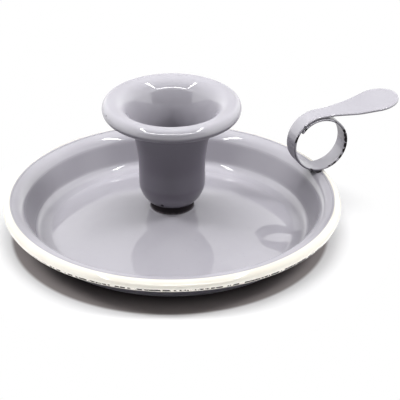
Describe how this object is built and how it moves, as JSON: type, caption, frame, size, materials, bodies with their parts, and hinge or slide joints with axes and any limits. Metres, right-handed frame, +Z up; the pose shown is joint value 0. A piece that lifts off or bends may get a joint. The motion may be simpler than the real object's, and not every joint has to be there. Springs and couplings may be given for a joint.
{
  "type": "chamberstick",
  "caption": "Enamelled steel chamberstick: crowned saucer with a rolled rim, trumpet candle cup and a strip handle curled into a finger loop with a thumb leaf.",
  "frame": {"origin": "saucer axis on the table plane, at the middle of the flat ring the saucer rests on", "axes": "+Z up along the saucer and cup axis, +X along the handle from the axis to the thumb leaf"},
  "size_m": [0.1752, 0.1422, 0.0603],
  "materials": {
    "lilac_enamel": "gloss",
    "cream_enamel": "gloss",
    "ground_coat": "satin"
  },
  "bodies": {
    "root": {"saucer": "lilac_enamel", "rim_coat": "cream_enamel", "candle_cup": "lilac_enamel", "foot_weld": "ground_coat", "finger_loop": "lilac_enamel", "loop_weld": "ground_coat"}
  },
  "joints": []
}
